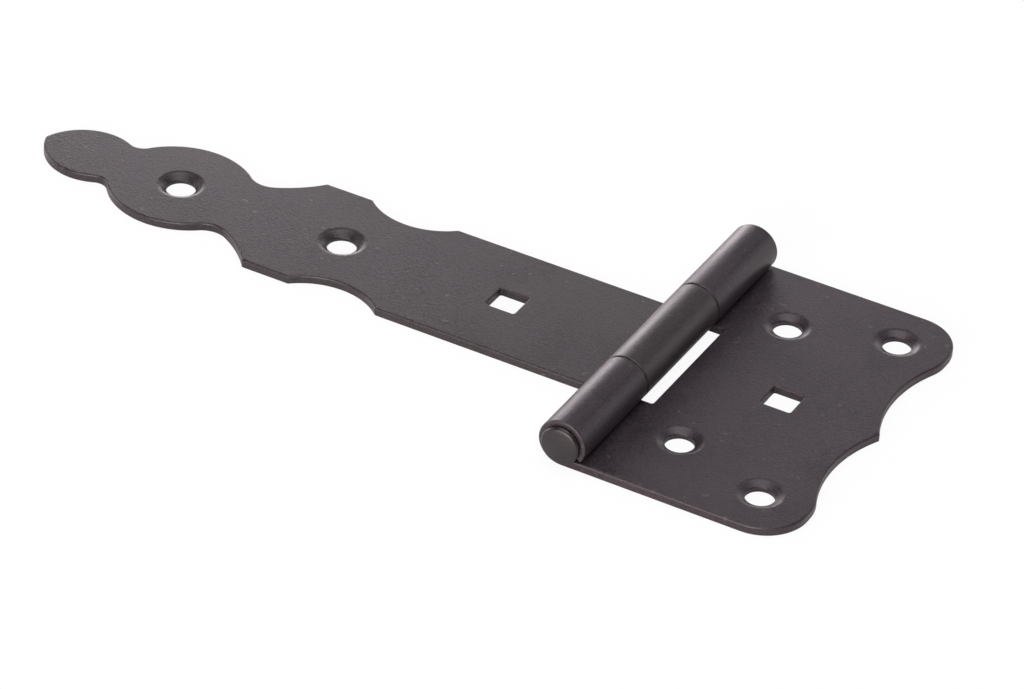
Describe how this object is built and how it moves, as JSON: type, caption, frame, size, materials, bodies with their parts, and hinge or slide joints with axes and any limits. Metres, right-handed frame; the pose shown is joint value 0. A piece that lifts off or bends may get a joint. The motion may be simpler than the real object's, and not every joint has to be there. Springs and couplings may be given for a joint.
{
  "type": "tee hinge",
  "caption": "Ornamental tee hinge: a long scalloped strap leaf turns on a headed pin held in a short slotted plate, with countersunk screw holes and square bolt holes.",
  "frame": {"origin": "below the middle of the pin, on the plane of both leaves' backs, where the gap between door and frame would be", "axes": "+X from the pin towards the butt plate, with the strap towards -X; +Y along the pin; +Z out of the leaves' front faces"},
  "size_m": [0.2007, 0.0877, 0.0106],
  "materials": {
    "strap_coat": "satin black powder coat with a fine grain",
    "butt_coat": "satin black powder coat with a fine grain",
    "pin_coat": "satin black powder coat"
  },
  "bodies": {
    "butt": {"butt_leaf": "butt_coat", "hinge_pin": "pin_coat"},
    "strap": {"strap_leaf": "strap_coat"}
  },
  "joints": [
    {"name": "strap_swing", "type": "hinge", "parent": "butt", "child": "strap", "pos_m": [0, 0, 0.0053], "axis": [0, 1, 0], "range_deg": [-100, 180]}
  ]
}
